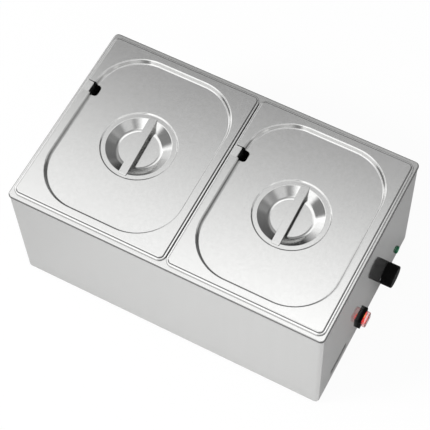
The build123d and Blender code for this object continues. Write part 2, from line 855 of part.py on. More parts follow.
with BuildPart() as gland_cap:
    with BuildSketch(back(gland_x, gland_z).offset(gland_flange)):
        RegularPolygon(cap_width / 2, 6, major_radius=False)
    extrude(amount=gland_neck + cap_wall_end)
    fillet(gland_cap.faces().sort_by(Axis.Y)[-1].edges(), 1.5)
    with BuildSketch(back(gland_x, gland_z).offset(gland_flange)):
        Circle(gland_neck_radius + cap_neck_gap)
    extrude(amount=gland_neck, mode=Mode.SUBTRACT)
    with BuildSketch(back(gland_x, gland_z).offset(gland_flange)):
        Circle(cap_bore_radius)
    extrude(amount=gland_neck + cap_wall_end, mode=Mode.SUBTRACT)
keep(gland_cap, "gland_cap")

with BuildPart() as gland_nut:
    with BuildSketch(back(gland_x, gland_z).offset(-sheet)):
        RegularPolygon(gland_width / 2, 6, major_radius=False)
        Circle(gland_hole_radius, mode=Mode.SUBTRACT)
    extrude(amount=-gland_nut_height)
keep(gland_nut, "gland_nut")

# terminal block on the base plate: four poles, wire holes in front, clamp screws on top
pole_xs = [block_x + (pole - 1.5) * block_pole_pitch for pole in range(4)]
block_front = block_y - block_width / 2
with BuildPart() as terminal_block:
    with BuildSketch(level(casing_bottom, block_x, block_y)):
        Rectangle(block_length, block_width)
    extrude(amount=block_height)
    fillet(terminal_block.edges().filter_by(Axis.Z), 1)
    with BuildSketch(Plane((body_x, body_y + block_front, block_hole_z), z_dir=(0, -1, 0), x_dir=(1, 0, 0))):
        with Locations(*[(x, 0) for x in pole_xs]):
            Circle(block_hole_radius)
    extrude(amount=-block_hole_depth, mode=Mode.SUBTRACT)
    with BuildSketch(level(casing_bottom + block_height)):
        with Locations(*[(x, block_y) for x in pole_xs]):
            Circle(block_screw_radius + thread_gap)
    extrude(amount=-block_screw_depth, mode=Mode.SUBTRACT)
keep(terminal_block, "terminal_block")

with BuildPart() as terminal_screws:
    with BuildSketch(level(casing_bottom + block_height - block_screw_depth)):
        with Locations(*[(x, block_y) for x in pole_xs]):
            Circle(block_screw_radius)
    extrude(amount=block_screw_depth - block_screw_sink)
    with BuildSketch(level(casing_bottom + block_height - block_screw_sink)):
        with Locations(*[(x, block_y) for x in pole_xs]):
            Rectangle(2 * block_screw_radius, 0.8)
    extrude(amount=-1, mode=Mode.SUBTRACT)
keep(terminal_screws, "terminal_screws")

with BuildPart() as earth_stud:
    with BuildSketch(level(foot_height, earth_x, earth_y)):
        Circle(m4_radius)
    extrude(amount=earth_length)
keep(earth_stud, "earth_stud")

with BuildPart() as earth_nut:
    with BuildSketch(level(casing_bottom, earth_x, earth_y)):
        RegularPolygon(m4_nut_width / 2, 6, major_radius=False)
        Circle(m4_radius + thread_gap, mode=Mode.SUBTRACT)
    extrude(amount=m4_nut_height)
keep(earth_nut, "earth_nut")

# spade tabs of the switch, the thermostat and the cutout
switch_tab_x = panel_x - switch_depth
thermostat_tab_x = panel_x - sheet - thermostat_depth
switch_tab_places = [(switch_y + y, switch_z + z) for y in (-7, 7) for z in (-5, 5)]
thermostat_tab_places = [(knob_y - 10, knob_z + 9), (knob_y + 10, knob_z + 9), (knob_y + 10, knob_z - 9)]
cutout_tab_z = tank_under - cutout_height
with BuildPart() as spade_tabs:
    with BuildSketch(Plane((body_x + switch_tab_x, body_y, 0), x_dir=(0, 1, 0), z_dir=(1, 0, 0))):
        with Locations(*switch_tab_places):
            Rectangle(tab_width, tab_thickness)
    extrude(amount=-tab_length)
    with BuildSketch(
        Plane((body_x + thermostat_tab_x, body_y, 0), x_dir=(0, 1, 0), z_dir=(1, 0, 0))
    ):
        with Locations(*thermostat_tab_places):
            Rectangle(tab_width, tab_thickness)
    extrude(amount=-tab_length)
    with BuildSketch(level(cutout_tab_z, cutout_x, cutout_y)):
        with GridLocations(cutout_tab_spacing, 1, 2, 1):
            Rectangle(tab_thickness, tab_width)
    extrude(amount=-tab_length)
keep(spade_tabs, "spade_tabs")

# wires inside, each on its own route of straight runs joined by arcs
switch_end = switch_tab_x - tab_length
thermostat_end = thermostat_tab_x - tab_length
cutout_end = cutout_tab_z - tab_length
hole_y = block_front + block_hole_depth
pin_end = element_right + bush_length + pin_length
lamp_end = panel_x - lamp_depth
left_tab = cutout_x - cutout_tab_spacing / 2
right_tab = cutout_x + cutout_tab_spacing / 2
wires = {
    "wire_live_in": [
        (pole_xs[3], hole_y, block_hole_z),
        (pole_xs[3], 62, block_hole_z),
        (214, 24, block_hole_z + 6),
        (214, switch_y + 7, switch_z + 5),
        (switch_end, switch_y + 7, switch_z + 5),
    ],
    "wire_neutral_in": [
        (pole_xs[2], hole_y, block_hole_z),
        (pole_xs[2], 50, block_hole_z),
        (204, 14, block_hole_z + 1),
        (208, switch_y + 7, switch_z - 5),
        (switch_end, switch_y + 7, switch_z - 5),
    ],
    "wire_switch_to_thermostat": [
        (switch_end, switch_y - 7, switch_z + 5),
        (218, switch_y - 7, switch_z + 5),
        (202, 4, switch_z + 7),
        (202, 44, knob_z + 9),
        (212, knob_y - 10, knob_z + 9),
        (thermostat_end, knob_y - 10, knob_z + 9),
    ],
    "wire_thermostat_to_cutout": [
        (thermostat_end, knob_y + 10, knob_z + 9),
        (216, knob_y + 10, knob_z + 9),
        (206, 66, cutout_end - 4),
        (right_tab + 6, 26, cutout_end - 8),
        (right_tab, cutout_y, cutout_end - 12),
        (right_tab, cutout_y, cutout_end),
    ],
    "wire_cutout_to_element": [
        (left_tab, cutout_y, cutout_end),
        (left_tab, cutout_y, cutout_end - 8),
        (198, 30, cutout_end - 4),
        (200, 80, cutout_end + 6),
        (214, 92, cutout_end + 10),
        (234, element_outer_y, element_z),
        (pin_end, element_outer_y, element_z),
    ],
    "wire_neutral_to_element": [
        (switch_end, switch_y - 7, switch_z - 5),
        (218, switch_y - 7, switch_z - 5),
        (212, -48, switch_z + 3),
        (216, -84, element_z - 16),
        (238, -element_outer_y, element_z),
        (pin_end, -element_outer_y, element_z),
    ],
    "wire_earth": [
        (pole_xs[0], hole_y, block_hole_z),
        (pole_xs[0], 78, block_hole_z),
        (178, earth_y, block_hole_z),
        (earth_x + m4_radius, earth_y, block_hole_z),
    ],
}
for name, route in wires.items():
    with BuildPart() as wire:
        with BuildLine(level(0)) as wire_line:
            FilletPolyline(*route, radius=4 * wire_radius)
        with BuildSketch(Plane(wire_line.line @ 0, z_dir=wire_line.line % 0)):
            Circle(wire_radius)
        sweep()
    keep(wire, name)

# the lamp's two leads run to the thermostat and to the terminal block
lamp_routes = [
    [
        (lamp_end, lamp_y - 3, lamp_z),
        (234, lamp_y - 3, lamp_z),
        (222, 104, lamp_z - 3),
        (216, knob_y + 10, knob_z - 9),
        (thermostat_end, knob_y + 10, knob_z - 9),
    ],
    [
        (lamp_end, lamp_y + 3, lamp_z),
        (238, lamp_y + 3, lamp_z),
        (234, 90, lamp_z - 3),
        (pole_xs[1], 66, block_hole_z + 12),
        (pole_xs[1], 66, block_hole_z),
        (pole_xs[1], hole_y, block_hole_z),
    ],
]
with BuildPart() as lamp_wires:
    for route in lamp_routes:
        with BuildLine(level(0)) as lamp_line:
            FilletPolyline(*route, radius=4 * wire_radius)
        with BuildSketch(Plane(lamp_line.line @ 0, z_dir=lamp_line.line % 0)):
            Circle(wire_radius)
        sweep(path=lamp_line.line)
keep(lamp_wires, "lamp_wires")

capillary_drop = bulb_z - knob_z
capillary_route = [
    (bulb_x + bulb_length / 2, bulb_y, bulb_z),
    (252, bulb_y, bulb_z),
    (256, -20, knob_z + 0.85 * capillary_drop),
    (250, 20, knob_z + 0.5 * capillary_drop),
    (250, 40, knob_z),
    (250, knob_y - thermostat_width / 2, knob_z),
]
with BuildPart() as capillary_tube:
    with BuildLine(level(0)) as capillary_line:
        FilletPolyline(*capillary_route, radius=5)
    with BuildSketch(Plane(capillary_line.line @ 0, z_dir=capillary_line.line % 0)):
        Circle(capillary_radius)
    sweep()
keep(capillary_tube, "capillary_tube")


def tub(x, skin):
    """The pan's form at x: a mouth that leans in to a smaller floor, drawn in by skin on every side."""
    lean = 2 * pan_taper
    with BuildPart() as form:
        with BuildSketch(level(pan_top, x)):
            RectangleRounded(pan_mouth_x - 2 * skin, pan_mouth_y - 2 * skin, pan_mouth_corner - skin)
        with BuildSketch(level(pan_floor + skin, x)):
            RectangleRounded(
                pan_mouth_x - lean - 2 * skin,
                pan_mouth_y - lean - 2 * skin,
                pan_mouth_corner - skin,
            )
        loft(ruled=True)
        fillet(form.faces().sort_by(Axis.Z)[0].edges(), pan_floor_round - skin)
    return form.part


def lean(run, rise):
    """The tangent of half the angle at which a wall of this run and rise stands."""
    return (hypot(run, rise) - run) / rise


def lid_form(x, skin):
    """A block with the lid's upper surface, and with skin the surface that far under it."""
    top = lid_top - skin
    floor = recess_floor - skin
    wider = 2 * skin * lean(recess_run, recess_depth)
    ledge = ledge_radius + skin * lean(ledge_run, ledge_drop)
    dish = dish_mouth_radius + skin * lean(dish_run, dish_depth)
    with BuildPart() as form:
        with BuildSketch(level(lid_low, x)):
            RectangleRounded(lid_x - 2 * skin, lid_y - 2 * skin, lid_corner - skin)
        extrude(amount=top - lid_low)
        fillet(form.faces().sort_by(Axis.Z)[-1].edges(), lid_edge_round - skin)
        with BuildSketch(level(top, x)):
            RectangleRounded(recess_x + wider, recess_y + wider, recess_corner + wider / 2)
        with BuildSketch(level(floor, x)):
            RectangleRounded(
                recess_x + wider - 2 * recess_run,
                recess_y + wider - 2 * recess_run,
                recess_corner + wider / 2 - recess_run,
            )
        loft(ruled=True, mode=Mode.SUBTRACT)
        border = form.faces().filter_by(Axis.Z).sort_by(Axis.Z)[-1]
        fillet(border.inner_wires()[0].edges(), recess_round - skin)
        recess = form.faces().filter_by(Axis.Z).sort_by(Axis.Z)[-2]
        fillet(recess.outer_wire().edges(), recess_round + skin)
        with BuildSketch(level(floor, x)):
            Circle(ledge + ledge_run)
        with BuildSketch(level(floor - ledge_drop, x)):
            Circle(ledge)
        loft(mode=Mode.SUBTRACT)
        with BuildSketch(level(floor - ledge_drop, x)):
            Circle(dish)
        with BuildSketch(level(floor - ledge_drop - dish_depth, x)):
            Circle(dish - dish_run)
        loft(mode=Mode.SUBTRACT)
        rounds = {
            ledge + ledge_run: ledge_round - skin,
            ledge: ledge_round + skin,
            dish: dish_mouth_round - skin,
            dish - dish_run: dish_floor_round + skin,
        }
        for radius, rounding in rounds.items():
            circles = form.edges().filter_by(GeomType.CIRCLE)
            fillet(circles.filter_by(lambda edge: abs(edge.radius - radius) < 0.01), rounding)
    return form.part


sides = (
    ("left", -pan_pitch / 2, strap_turn_left),
    ("right", pan_pitch / 2, strap_turn_right),
)
for side, x, turn in sides:
    # food pan: a deep tub under a flat flange with a turned-down edge
    with BuildPart() as pan:
        with BuildSketch(level(rim_z, x)):
            RectangleRounded(pan_x, pan_y, pan_corner)
        extrude(amount=pan_flange_drop)
        fillet(pan.faces().sort_by(Axis.Z)[-1].edges(), pan_edge_round)
        with BuildSketch(level(rim_z, x)):
            RectangleRounded(pan_x - 2 * pan_sheet, pan_y - 2 * pan_sheet, pan_corner - pan_sheet)
        extrude(amount=pan_flange_drop - pan_sheet, mode=Mode.SUBTRACT)
        add(tub(x, 0))
        add(tub(x, pan_sheet), mode=Mode.SUBTRACT)
        mouth = pan.faces().filter_by(Axis.Z).sort_by(Axis.Z)[-1]
        fillet(mouth.inner_wires()[0].edges(), pan_mouth_round)
    keep(pan, f"pan_{side}")

    # lid: one pressed sheet, cut back to its edge, with the ladle notch
    with BuildPart() as lid:
        add(lid_form(x, 0))
        add(lid_form(x, lid_sheet), mode=Mode.SUBTRACT)
        with BuildSketch(level(lid_low, x)):
            Rectangle(lid_x + 10, lid_y + 10)
            RectangleRounded(lid_x - 4 * lid_sheet, lid_y - 4 * lid_sheet, lid_corner, mode=Mode.SUBTRACT)
        extrude(amount=pan_top - lid_low, mode=Mode.SUBTRACT)
        with BuildSketch(level(lid_low, x)) as notch:
            with Locations((-lid_x / 2, notch_y)):
                Rectangle(2 * notch_depth, notch_width)
            fillet(notch.vertices().group_by(Axis.X)[-1], notch_corner)
        extrude(amount=lid_top - lid_low, mode=Mode.SUBTRACT)
    keep(lid, f"lid_{side}")

    # handle: a flat strap across the dish, welded down on the ledge round it
    strap_plane = level(ledge_top, x + strap_shift).rotated((0, 0, turn))
    strap_length = 2 * (dish_mouth_radius + strap_overhang)
    with BuildPart() as handle:
        with BuildSketch(strap_plane):
            Rectangle(strap_width, strap_length)
        extrude(amount=strap_thickness)
        fillet(handle.edges().filter_by(Axis.Z), strap_corner)
        fillet(handle.faces().sort_by(Axis.Z)[-1].edges(), strap_edge_round)
        with BuildSketch(strap_plane.offset(strap_thickness)):
            with GridLocations(weld_pitch, strap_length - 2 * weld_inset, 2, 2):
                Circle(weld_radius)
        extrude(amount=-weld_depth, mode=Mode.SUBTRACT)
    keep(handle, f"lid_handle_{side}")
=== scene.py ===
"""The dressed countertop bain-marie: steel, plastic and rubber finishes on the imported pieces,
the studio round them and the camera. Lengths are metres, and colours are linear."""

import json

import bpy
import numpy as np
from mathutils import Matrix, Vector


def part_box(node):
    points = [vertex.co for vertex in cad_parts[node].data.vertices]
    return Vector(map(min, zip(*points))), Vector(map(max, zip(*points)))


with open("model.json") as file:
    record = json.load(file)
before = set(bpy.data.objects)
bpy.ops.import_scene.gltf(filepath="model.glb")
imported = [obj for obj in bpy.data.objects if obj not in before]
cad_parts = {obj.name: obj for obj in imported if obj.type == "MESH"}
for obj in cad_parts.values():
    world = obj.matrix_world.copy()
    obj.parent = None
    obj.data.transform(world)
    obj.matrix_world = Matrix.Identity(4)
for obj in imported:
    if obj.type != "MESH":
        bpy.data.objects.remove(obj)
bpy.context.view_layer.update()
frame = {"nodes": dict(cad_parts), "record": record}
nodes = frame["nodes"]


# nodes and sockets


def wire(tree, output, target):
    """Joins an output to an input."""
    tree.links.new(output, target)


def node(tree, kind, **values):
    """Adds a node; a value named like a property sets it, any other sets the input of that name."""
    made = tree.nodes.new(kind)
    for name, value in values.items():
        if hasattr(made, name):
            setattr(made, name, value)
        else:
            made.inputs[name.replace("_", " ")].default_value = value
    return made


def math(tree, operation, a, b=None, clamp=False):
    """One arithmetic node; a and b are sockets or plain numbers."""
    made = node(tree, "ShaderNodeMath", operation=operation, use_clamp=clamp)
    for slot, value in enumerate((a, b)):
        if value is None:
            continue
        if isinstance(value, (int, float)):
            made.inputs[slot].default_value = value
        else:
            wire(tree, value, made.inputs[slot])
    return made.outputs[0]


def ramp(tree, value, low, high, to_low, to_high):
    """Maps value smoothly from low..high to to_low..to_high and holds it beyond."""
    made = node(tree, "ShaderNodeMapRange", interpolation_type="SMOOTHSTEP")
    ends = (("From Min", low), ("From Max", high), ("To Min", to_low), ("To Max", to_high))
    for name, number in ends:
        made.inputs[name].default_value = number
    wire(tree, value, made.inputs["Value"])
    return made.outputs["Result"]


def noise(tree, vector, scale, detail=2.0, rough=0.5):
    """Noise of about scale lumps a metre along each axis of the vector."""
    made = node(tree, "ShaderNodeTexNoise", Scale=scale, Detail=detail, Roughness=rough)
    wire(tree, vector, made.inputs["Vector"])
    return made.outputs["Fac"]


def stretched(tree, vector, scale):
    """The vector with each axis multiplied, which draws a pattern out along the small ones."""
    made = node(tree, "ShaderNodeMapping", vector_type="POINT")
    made.inputs["Scale"].default_value = scale
    wire(tree, vector, made.inputs["Vector"])
    return made.outputs["Vector"]


def distance(tree, place, middle, axes=(1.0, 1.0, 1.0)):
    """How far a point is from middle, counted along the axes that are 1."""
    offset = node(tree, "ShaderNodeMapping", vector_type="POINT")
    offset.inputs["Scale"].default_value = axes
    offset.inputs["Location"].default_value = tuple(-m * a for m, a in zip(middle, axes))
    wire(tree, place, offset.inputs["Vector"])
    length = node(tree, "ShaderNodeVectorMath", operation="LENGTH")
    wire(tree, offset.outputs["Vector"], length.inputs[0])
    return length.outputs["Value"]


def mix_colour(tree, factor, a, b):
    """Blends two colours by a factor; a and b are sockets or colours."""
    made = node(tree, "ShaderNodeMix", data_type="RGBA")
    wire(tree, factor, made.inputs["Factor"])
    for socket, value in ((made.inputs[6], a), (made.inputs[7], b)):
        if isinstance(value, tuple):
            socket.default_value = value
        else:
            wire(tree, value, socket)
    return made.outputs[2]


def mix_value(tree, factor, a, b):
    """Blends a socket a and a number b by a factor."""
    made = node(tree, "ShaderNodeMix", data_type="FLOAT")
    wire(tree, factor, made.inputs["Factor"])
    wire(tree, a, made.inputs[2])
    made.inputs[3].default_value = b
    return made.outputs[0]


# effects that several materials share


def group(name, inputs, outputs):
    """An empty node group: each input is name, kind, default; each output name, kind."""
    tree = bpy.data.node_groups.new(name, "ShaderNodeTree")
    for label, kind, value in inputs:
        socket = tree.interface.new_socket(name=label, in_out="INPUT", socket_type=kind)
        if value is not None:
            socket.default_value = value
    for label, kind in outputs:
        tree.interface.new_socket(name=label, in_out="OUTPUT", socket_type=kind)
    return tree, tree.nodes.new("NodeGroupInput").outputs, tree.nodes.new("NodeGroupOutput").inputs


def brushed_group():
    """Brushed sheet: noise drawn out along the brush gives fine grooves, and two coarser ones an
    uneven polish. The vector comes in drawn out along the brush already."""
    tree, given, out = group(
        "brushed sheet",
        [
            ("Vector", "NodeSocketVector", None),
            ("Light", "NodeSocketColor", (0.6, 0.6, 0.59, 1)),
            ("Dark", "NodeSocketColor", (0.55, 0.55, 0.54, 1)),
            ("Roughness", "NodeSocketFloat", 0.25),
            ("Roughness Spread", "NodeSocketFloat", 0.05),
        ],
        [
            ("Color", "NodeSocketColor"),
            ("Roughness", "NodeSocketFloat"),
            ("Height", "NodeSocketFloat"),
        ],
    )
    fine_share = 0.55
    fine = noise(tree, given["Vector"], 1.0, 3.0, 0.6)
    coarse = noise(tree, stretched(tree, given["Vector"], (0.5, 0.5, 0.12)), 1.0, 2.0)
    smear = noise(tree, stretched(tree, given["Vector"], (0.3, 0.3, 0.01)), 1.0, 1.0)
    streak = math(
        tree, "ADD",
        math(tree, "MULTIPLY", fine, fine_share),
        math(tree, "MULTIPLY", coarse, 1.0 - fine_share),
    )
    tone = ramp(tree, streak, 0.35, 0.65, 0.0, 1.0)
    wire(tree, mix_colour(tree, tone, given["Dark"], given["Light"]), out["Color"])
    drift = math(tree, "SUBTRACT", math(tree, "ADD", streak, smear), 1.0)
    change = math(tree, "MULTIPLY", drift, given["Roughness Spread"])
    wire(tree, math(tree, "ADD", given["Roughness"], change), out["Roughness"])
    wire(tree, streak, out["Height"])
    return tree


def handled_group():
    """Wear of handled sheet: soft cloudy patches and thin scratches, each a mask from 0 to 1."""
    tree, given, out = group(
        "handling marks",
        [("Vector", "NodeSocketVector", None), ("Patch Scale", "NodeSocketFloat", 14.0)],
        [("Patches", "NodeSocketFloat"), ("Scratches", "NodeSocketFloat")],
    )
    scratch_grid = (22.0, 60.0, 40.0)
    scratch_width = 0.012
    patches = node(tree, "ShaderNodeTexNoise", Detail=3.0, Roughness=0.55, Distortion=0.6)
    wire(tree, given["Vector"], patches.inputs["Vector"])
    wire(tree, given["Patch Scale"], patches.inputs["Scale"])
    wire(tree, ramp(tree, patches.outputs["Fac"], 0.3, 0.7, 0.0, 1.0), out["Patches"])
    scratch = node(tree, "ShaderNodeTexVoronoi", feature="DISTANCE_TO_EDGE", Scale=1.0)
    warped = node(tree, "ShaderNodeTexNoise", Scale=9.0, Detail=1.0)
    wire(tree, given["Vector"], warped.inputs["Vector"])
    bent = node(tree, "ShaderNodeVectorMath", operation="ADD")
    wire(tree, stretched(tree, given["Vector"], scratch_grid), bent.inputs[0])
    wire(tree, warped.outputs["Color"], bent.inputs[1])
    wire(tree, bent.outputs["Vector"], scratch.inputs["Vector"])
    thin = ramp(tree, scratch.outputs["Distance"], 0.0, scratch_width, 1.0, 0.0)
    wire(tree, thin, out["Scratches"])
    return tree


def moulded_group():
    """Moulded skin: a fine pebbled height and a slight, cloudy drift of tone and gloss."""
    tree, given, out = group(
        "moulded skin",
        [
            ("Vector", "NodeSocketVector", None),
            ("Color", "NodeSocketColor", (0.02, 0.02, 0.02, 1)),
            ("Worn", "NodeSocketColor", (0.04, 0.04, 0.04, 1)),
            ("Pebbles", "NodeSocketFloat", 2500.0),
            ("Roughness", "NodeSocketFloat", 0.45),
        ],
        [
            ("Color", "NodeSocketColor"),
            ("Roughness", "NodeSocketFloat"),
            ("Height", "NodeSocketFloat"),
        ],
    )
    clouds_a_metre = 60.0
    gloss_drift = 0.2
    pebble = node(tree, "ShaderNodeTexNoise", Detail=2.0)
    wire(tree, given["Vector"], pebble.inputs["Vector"])
    wire(tree, given["Pebbles"], pebble.inputs["Scale"])
    cloud = noise(tree, given["Vector"], clouds_a_metre, 2.0)
    drift = ramp(tree, cloud, 0.35, 0.7, 0.0, 1.0)
    wire(tree, mix_colour(tree, drift, given["Color"], given["Worn"]), out["Color"])
    sway = math(tree, "MULTIPLY", math(tree, "SUBTRACT", cloud, 0.5), gloss_drift)
    wire(tree, math(tree, "ADD", given["Roughness"], sway), out["Roughness"])
    wire(tree, pebble.outputs["Fac"], out["Height"])
    return tree


def edge_shade_group():
    """Turned edge of a sheet, a mask that is 1 in a band along its outline, where the steel gets
    painted shade. The outline is a rectangle with round corners, or two side by side, a pitch
    apart:
    the distance from it is the length of what is left of the point's offsets past the reach, less
    the corner's radius."""
    tree, given, out = group(
        "turned edge",
        [
            ("Vector", "NodeSocketVector", None),
            ("Middle", "NodeSocketVector", (0.0, 0.0, 0.0)),
            ("Half Pitch", "NodeSocketFloat", 0.0),
            ("Reach", "NodeSocketVector", (1.0, 1.0, 1.0)),
            ("Corner", "NodeSocketFloat", 0.008),
            ("Band", "NodeSocketFloat", 0.001),
        ],
        [("Mask", "NodeSocketFloat")],
    )
    fade = 0.0003

    def step(operation, a, b=None):
        made = node(tree, "ShaderNodeVectorMath", operation=operation)
        for slot, value in enumerate((a, b)):
            if isinstance(value, tuple):
                made.inputs[slot].default_value = value
            elif value is not None:
                wire(tree, value, made.inputs[slot])
        return made.outputs["Value" if operation == "LENGTH" else "Vector"]

    apart = node(tree, "ShaderNodeCombineXYZ")
    wire(tree, given["Half Pitch"], apart.inputs["X"])
    either_side = step("ABSOLUTE", step("SUBTRACT", given["Vector"], given["Middle"]))
    local = step("SUBTRACT", either_side, apart.outputs[0])
    past = step("SUBTRACT", step("ABSOLUTE", local), given["Reach"])
    past = step("MULTIPLY", step("MAXIMUM", past, (0.0, 0.0, 0.0)), (1.0, 1.0, 0.0))
    away = math(tree, "SUBTRACT", step("LENGTH", past), given["Corner"])
    edge = math(tree, "DIVIDE", math(tree, "ADD", away, given["Band"]), fade, clamp=True)
    wire(tree, edge, out["Mask"])
    return tree


BRUSHED = brushed_group()
HANDLED = handled_group()
MOULDED = moulded_group()
EDGE_SHADE_MASK = edge_shade_group()


# materials


def started(name):
    """A new material: its tree, its shader and the object's coordinates."""
    made = bpy.data.materials.new(name)
    made.use_nodes = True
    shader = made.node_tree.nodes["Principled BSDF"]
    place = node(made.node_tree, "ShaderNodeTexCoord").outputs["Object"]
    return made, made.node_tree, shader, place


def placed(tree, shared, place, **values):
    """Puts a shared group in a material with its own values."""
    made = node(tree, "ShaderNodeGroup", node_tree=shared)
    wire(tree, place, made.inputs["Vector"])
    for name, value in values.items():
        made.inputs[name.replace("_", " ")].default_value = value
    return made


def bumped(tree, height, shader, strength, depth):
    """Feeds a height to the shader's normal."""
    bump = node(tree, "ShaderNodeBump", Strength=strength, Distance=depth)
    wire(tree, height, bump.inputs["Height"])
    wire(tree, bump.outputs["Normal"], shader.inputs["Normal"])


def outline(tree, place, pieces, corner, band, depth):
    """How far the painted shade darkens the turned edge of one sheet, or of a pair side by side
    along x.
    """
    boxes = [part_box(piece) for piece in pieces]
    low = np.min([box[0] for box in boxes], axis=0)
    high = np.max([box[1] for box in boxes], axis=0)
    size = np.array(boxes[0][1]) - np.array(boxes[0][0])
    half_pitch = float(high[0] - low[0] - size[0]) / 2
    edge = placed(tree, EDGE_SHADE_MASK, place, Half_Pitch=half_pitch, Corner=corner, Band=band)
    edge.inputs["Middle"].default_value = tuple((low + high) / 2)
    edge.inputs["Reach"].default_value = tuple(size / 2 - corner)
    return math(tree, "MULTIPLY", edge.outputs["Mask"], depth)


# painted shade: the dark tone laid in a band along the sheets' turned edges, where shade and dark
# reflections fall
EDGE_SHADE_TONE = (0.1, 0.1, 0.1, 1)


def steel(name, grain, light, dark, roughness, spread, groove, mark=0.0, haze=0.0, turned=None):
    """Stainless sheet and other bare metal: grain gives how many grooves a metre along x, y and z,
    groove their depth, mark how far handling roughens it, haze how far its oxide dulls the mirror,
    and turned the pieces, corner, band and depth of the painted shade along an edge."""
    made, tree, shader, place = started(name)
    shader.inputs["Metallic"].default_value = 1.0 - haze
    sheet = placed(
        tree, BRUSHED, stretched(tree, place, grain),
        Light=(*light, 1), Dark=(*dark, 1), Roughness=roughness, Roughness_Spread=spread,
    )
    colour = sheet.outputs["Color"]
    # painted shade: darkens a band along the turned edge
    if turned:
        colour = mix_colour(tree, outline(tree, place, *turned), colour, EDGE_SHADE_TONE)
    wire(tree, colour, shader.inputs["Base Color"])
    rough = sheet.outputs["Roughness"]
    if mark:
        marks = placed(tree, HANDLED, place)
        worn = math(tree, "MULTIPLY", marks.outputs["Patches"], mark)
        cut = math(tree, "MULTIPLY", marks.outputs["Scratches"], 2.0 * mark)
        rough = math(tree, "ADD", rough, math(tree, "ADD", worn, cut))
    wire(tree, rough, shader.inputs["Roughness"])
    bumped(tree, sheet.outputs["Height"], shader, 0.35, groove)
    return made


def plastic(name, colour, worn, roughness, pebbles, depth, specular=0.5):
    """Moulded plastic, rubber or fibre: pebbles a metre in its skin, and their depth."""
    made, tree, shader, place = started(name)
    shader.inputs["Specular IOR Level"].default_value = specular
    skin = placed(
        tree, MOULDED, place,
        Color=(*colour, 1), Worn=(*worn, 1), Roughness=roughness, Pebbles=pebbles,
    )
    wire(tree, skin.outputs["Color"], shader.inputs["Base Color"])
    wire(tree, skin.outputs["Roughness"], shader.inputs["Roughness"])
    bumped(tree, skin.outputs["Height"], shader, 0.5, depth)
    return made


def lit_rocker():
    """Red rocker lit from inside: its glow is brightest and yellowest at the top edge's middle."""
    made, tree, shader, place = started("lit red rocker")
    low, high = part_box("switch_rocker")
    brightest = (0.45 * low[0] + 0.55 * high[0], (low[1] + high[1]) / 2, high[2])
    core, reach = 0.002, 0.0065
    glow = ramp(tree, distance(tree, place, brightest), core, reach, 1.0, 0.0)
    body = mix_colour(tree, glow, (0.6, 0.012, 0.008, 1), (0.9, 0.12, 0.02, 1))
    wire(tree, body, shader.inputs["Base Color"])
    light = mix_colour(tree, glow, (0.62, 0.008, 0.003, 1), (1.0, 0.62, 0.03, 1))
    wire(tree, light, shader.inputs["Emission Color"])
    shader.inputs["Emission Strength"].default_value = 1.1
    shader.inputs["Roughness"].default_value = 0.3
    return made


def clear_cover():
    """Soft clear cover, slightly milky and pink, cloudy in patches."""
    made, tree, shader, place = started("clear splash cover")
    clouds_a_metre = 180.0
    cloud = noise(tree, place, clouds_a_metre, 2.0)
    blend = ramp(tree, cloud, 0.3, 0.7, 0.0, 1.0)
    tone = mix_colour(tree, blend, (1.0, 0.76, 0.76, 1), (1.0, 0.86, 0.85, 1))
    wire(tree, tone, shader.inputs["Base Color"])
    wire(tree, ramp(tree, cloud, 0.3, 0.7, 0.08, 0.14), shader.inputs["Roughness"])
    shader.inputs["Transmission Weight"].default_value = 0.94
    shader.inputs["IOR"].default_value = 1.4
    return made


def green_lens():
    """Green lens with painted light and shade: lighter in the middle of its dome, dark at the rim.
    """
    made, tree, shader, place = started("green lens")
    low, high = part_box("lamp_lens")
    bright_radius, rim_radius = 0.0035, 0.0066
    radius = distance(tree, place, (low + high) / 2, (0.0, 1.0, 1.0))
    # painted light and shade: the dome lighter in the middle and darker towards the rim
    rim = ramp(tree, radius, bright_radius, rim_radius, 0.0, 1.0)
    tone = mix_colour(tree, rim, (0.01, 0.5, 0.22, 1), (0.002, 0.12, 0.05, 1))
    wire(tree, tone, shader.inputs["Base Color"])
    shader.inputs["Roughness"].default_value = 0.15
    shader.inputs["Coat Weight"].default_value = 0.1
    shader.inputs["Specular IOR Level"].default_value = 0.3
    return made


# grooves a metre along x, y and z
ALONG_X = (8.0, 900.0, 900.0)
ALONG_Y = (500.0, 12.0, 500.0)
UP_WALLS = (1100.0, 1100.0, 6.0)
ALONG_THREAD = (900.0, 900.0, 60.0)
ALONG_LUG = (400.0, 60.0, 400.0)
PAN_SATIN = (300.0, 300.0, 300.0)
LID_SATIN = (420.0, 420.0, 420.0)
TUBE_MOTTLE = (60.0, 60.0, 60.0)
COPPER_MOTTLE = (200.0, 200.0, 200.0)

# pieces, corner radius, width of the band and depth of the painted shade along their turned edges
TANK_EDGE = (("water_tank",), 0.008, 0.0014, 0.85)
PAN_EDGE = (("pan_left", "pan_right"), 0.0125, 0.0008, 0.45)
LID_EDGE = (("lid_left", "lid_right"), 0.008, 0.0012, 0.88)


def sleeve(name, colour, worn):
    """The soft sleeve of one wire."""
    return plastic(name, colour, worn, roughness=0.45, pebbles=1500.0, depth=0.00001)


